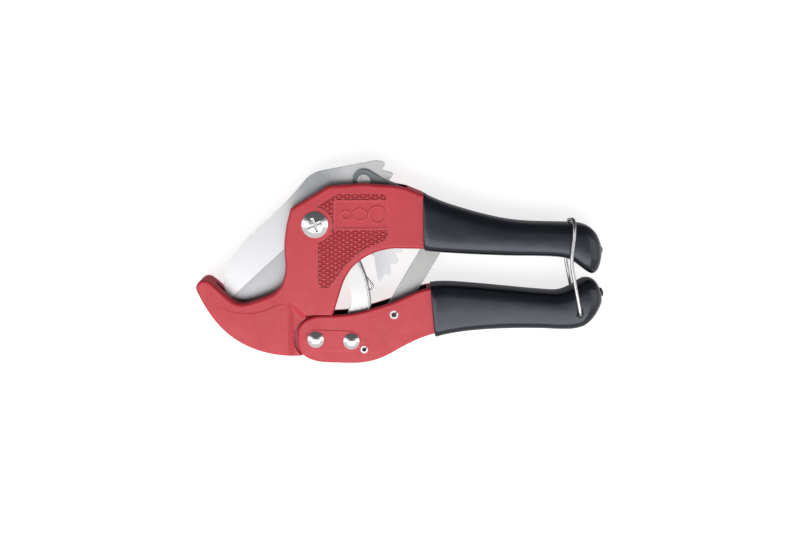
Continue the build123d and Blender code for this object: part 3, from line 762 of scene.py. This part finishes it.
def pad_relief(name, side, paint):
    """Three pipe ends of growing size, raised from the sunk pad."""
    low, high = FRAME_HALF - FIELD_DEPTH, FRAME_HALF - 0.1
    wall = 1.0
    vertices, faces = [], []
    for dx, outer in ((-7.6, 2.6), (-0.6, 3.6), (8.0, 4.6)):
        ring_mesh(vertices, faces, PAD_CENTRE[0] + dx, PAD_CENTRE[1], outer, outer - wall, low, high, side)
    relief = new_object(name, vertices, faces, smooth=False)
    finish_piece(relief, "frame", "red_paint", paint)


def cast_ridge(name, side, paint):
    """The faint raised line that runs along the jaw and turns down beside the handle."""
    line = smooth_path([(-51.5, -38.6), (-48.5, -40.5), (-40.0, -43.8), (-32.6, -44.4), (-26.0, -43.3),
                        (-21.1, -41.2), (-17.4, -39.9), (-14.2, -40.3), (-12.4, -41.6)], 8)
    sunk, end_drop, end_radius, swell = 0.30, 0.22, 0.25, 0.30
    points, radii = [], []
    for i, (x, y, _) in enumerate(line):
        fullness = sin(pi * i / (len(line) - 1)) ** 0.5
        points.append((x, y, side * (FRAME_HALF - sunk - end_drop * (1 - fullness))))
        radii.append(end_radius + swell * fullness)
    ridge = tube(name, points, radii, 12)
    finish_piece(ridge, "frame", "red_paint", paint)


# ------------------------------------------------------------------ springs, bail, lever rims
def helix(centre, axis, radius, turns, pitch, per_turn=24):
    """Points along a coil of round wire."""
    axis = Vector(axis).normalized()
    side = axis.orthogonal().normalized()
    other = axis.cross(side)
    points = []
    for step in range(int(turns * per_turn) + 1):
        turn = 2 * pi * step / per_turn
        points.append(Vector(centre) + axis * (pitch * step / per_turn)
                      + (side * cos(turn) + other * sin(turn)) * radius)
    return points


def blade_return_spring(wire):
    """A close-wound pull spring from the link's tail to its anchor in the upper handle."""
    height, link_length, straight = 4.0, 19.0, 4.0
    turns, pitch, radius, gauge = 27, 1.0, 1.55, 0.44
    anchor = (middle("spring_anchor") - PIVOT) / MM
    link = (middle("link_rivet") - PIVOT) / MM
    anchor.z = link.z = height
    pull = (anchor - link).normalized()
    tail = link + pull * link_length
    coil = helix(tail + pull * straight, pull, radius, turns, pitch)
    hook = [tail + Vector((0, 0, -2.6)), tail + Vector((0, 0, -0.8)), tail + pull * 0.7, tail + pull * 3.0]
    end = tail + pull * (straight + turns * pitch)
    last = [end + pull * 0.8, anchor - pull * 2.0]
    spring = tube("blade_spring_coil", hook + coil + last, gauge, 10)
    finish_piece(spring, "spring_link", "wire_steel", wire, "blade_spring")
    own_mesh(spring)


def handle_opening_spring(wire):
    """A wound spring round the lever's rivet, with a leg that hooks over the lever's edge."""
    centre = (middle("lever_rivet") - PIVOT) / MM
    gauge, radius, turns, pitch, base = 0.52, 3.05, 4.75, 1.06, -2.6
    coil = helix((centre.x, centre.y, base), (0, 0, 1), radius, turns, pitch)
    leg = smooth_path([tuple(coil[-1]), (21.6, -54.0, 2.6), (23.6, -46.0, 2.6), (24.4, -38.5, 2.8)], 6)
    hook = smooth_path([
        (25.3, -35.4, 3.0), (27.6, -32.7, 3.1), (28.3, -31.6, 3.2), (27.7, -30.4, 3.2), (25.6, -27.6, 3.2),
        (24.3, -26.0, 3.0), (21.4, -21.0, 2.8)], 5)
    foot = [(20.7, -62.0, base), (centre.x + 2.9, centre.y - 1.8, base - 0.05)]
    spring = tube("handle_spring_coil", [*foot, *coil, *leg[1:], *hook], gauge, 12)
    finish_piece(spring, "opening_lever", "wire_steel", wire, "handle_spring")


def bail(wire):
    """The locking wire: down both sides from the lower grip, and rounded close over the upper one."""
    gauge, out = 0.88, 12.9
    leg = [(129.3, -36.8), (127.4, -27.4), (126.0, -19.8), (126.2, -13.0), (126.9, -6.4)]
    near = [(x, y, out) for x, y in leg]
    over = [(127.0, -1.6, 12.7), (126.9, 1.4, 10.9), (126.7, 2.3, 7.0), (126.5, 1.7, 1.5), (126.4, 1.1, -4.0),
            (126.4, 0.2, -8.6), (126.6, -2.0, -12.0)]
    far = [(x, y, -out) for x, y in reversed(leg)]
    foot = [(BAIL_PIVOT[0] + 0.1, BAIL_PIVOT[1] - 0.1, z) for z in (8.0, 12.0)]
    far_foot = [(x, y, -z) for x, y, z in reversed(foot)]
    piece = tube("bail_wire", smooth_path([*foot, *near, *over, *far, *far_foot], 8), gauge, 14)
    finish_piece(piece, "wire_bail", "wire_steel", wire, "wire_bail")


def stop_spring(wire):
    """The small wound spring round the stop pawl's pin."""
    centre = (middle("stop_pawl_pin") - PIVOT) / MM
    gauge, radius, turns, pitch, base = 0.40, 2.1, 4, 0.85, -6.0
    coil = helix((centre.x, centre.y, base), (0, 0, 1), radius, turns, pitch)
    spring = tube("stop_pawl_coil", coil, gauge, 10)
    finish_piece(spring, "frame", "wire_steel", wire, "stop_pawl_spring")


def lever_rims(zinc):
    """The turned-up rim along the long edge of each cheek of the lever."""
    edge = [(19.0, -13.6, 4.35), (21.4, -19.4, 4.45), (24.2, -26.6, 4.5), (25.9, -34.0, 4.5),
            (26.5, -40.6, 4.5), (25.7, -47.8, 4.4)]
    for side, word in ((1, "near"), (-1, "far")):
        rim = tube(f"lever_rim_{word}", smooth_path([(x, y, side * z) for x, y, z in edge], 6), 0.55, 12)
        finish_piece(rim, "opening_lever", "zinc_plate", zinc)


# ------------------------------------------------------------------ everything
def dress(node, material, group):
    """Gives a CAD node its material and clean shading."""
    piece = bpy.data.objects[node]
    piece.data.materials.clear()
    piece.data.materials.append(material)
    shade_well(piece, group)


def make_finishes():
    """The material for each slot of the record."""
    return {
        "red_paint": red_paint(),
        "grip_vinyl": grip_vinyl(),
        "blade_steel": blade_steel(),
        "bright_steel": polished("bright_steel", (0.74, 0.72, 0.71), (0.86, 0.85, 0.84), 0.16),
        "wire_steel": polished("wire_steel", (0.36, 0.36, 0.37), (0.54, 0.54, 0.55), 0.20),
        "zinc_plate": brushed("zinc_plate", (0.43, 0.43, 0.43), (0.55, 0.55, 0.54), 0.32, 240.0, 1.2, 0.08),
        "strap_steel": brushed(
            "strap_steel", (0.29, 0.29, 0.29), (0.39, 0.39, 0.38), 0.38, 300.0, radians(-59)),
        "dark_link": brushed("dark_link", (0.13, 0.15, 0.15), (0.22, 0.24, 0.24), 0.42, 260.0, 0.4),
        "pin_steel": brushed("pin_steel", (0.34, 0.34, 0.35), (0.50, 0.50, 0.50), 0.34, 380.0)}


def make_all():
    """Dresses every CAD node, then adds the pieces that are made here."""
    finishes = make_finishes()
    paint, vinyl, wire = finishes["red_paint"], finishes["grip_vinyl"], finishes["wire_steel"]
    group = angle_shading()
    for row in frame["record"]["subparts"]:
        dress(row["node"], finishes[row["material_slot"]], group)
    upper_grip_skin(vinyl)
    lower_grip_skin(vinyl)
    for side, word in ((1, "near"), (-1, "far")):
        checker_field(f"checker_field_{word}", side, paint)
        pad_relief(f"pad_relief_{word}", side, paint)
        cast_ridge(f"cast_ridge_{word}", side, paint)
    blade_return_spring(wire)
    handle_opening_spring(wire)
    stop_spring(wire)
    bail(wire)
    lever_rims(finishes["zinc_plate"])
    dip_nub("dip_nub_upper", "frame", (141.6, -13.6), 2.0, 0.10, vinyl)
    dip_nub("dip_nub_lower", "lower_handle", (142.3, -34.8), 2.3, 0.30, vinyl)


make_camera()
make_studio()
make_all()
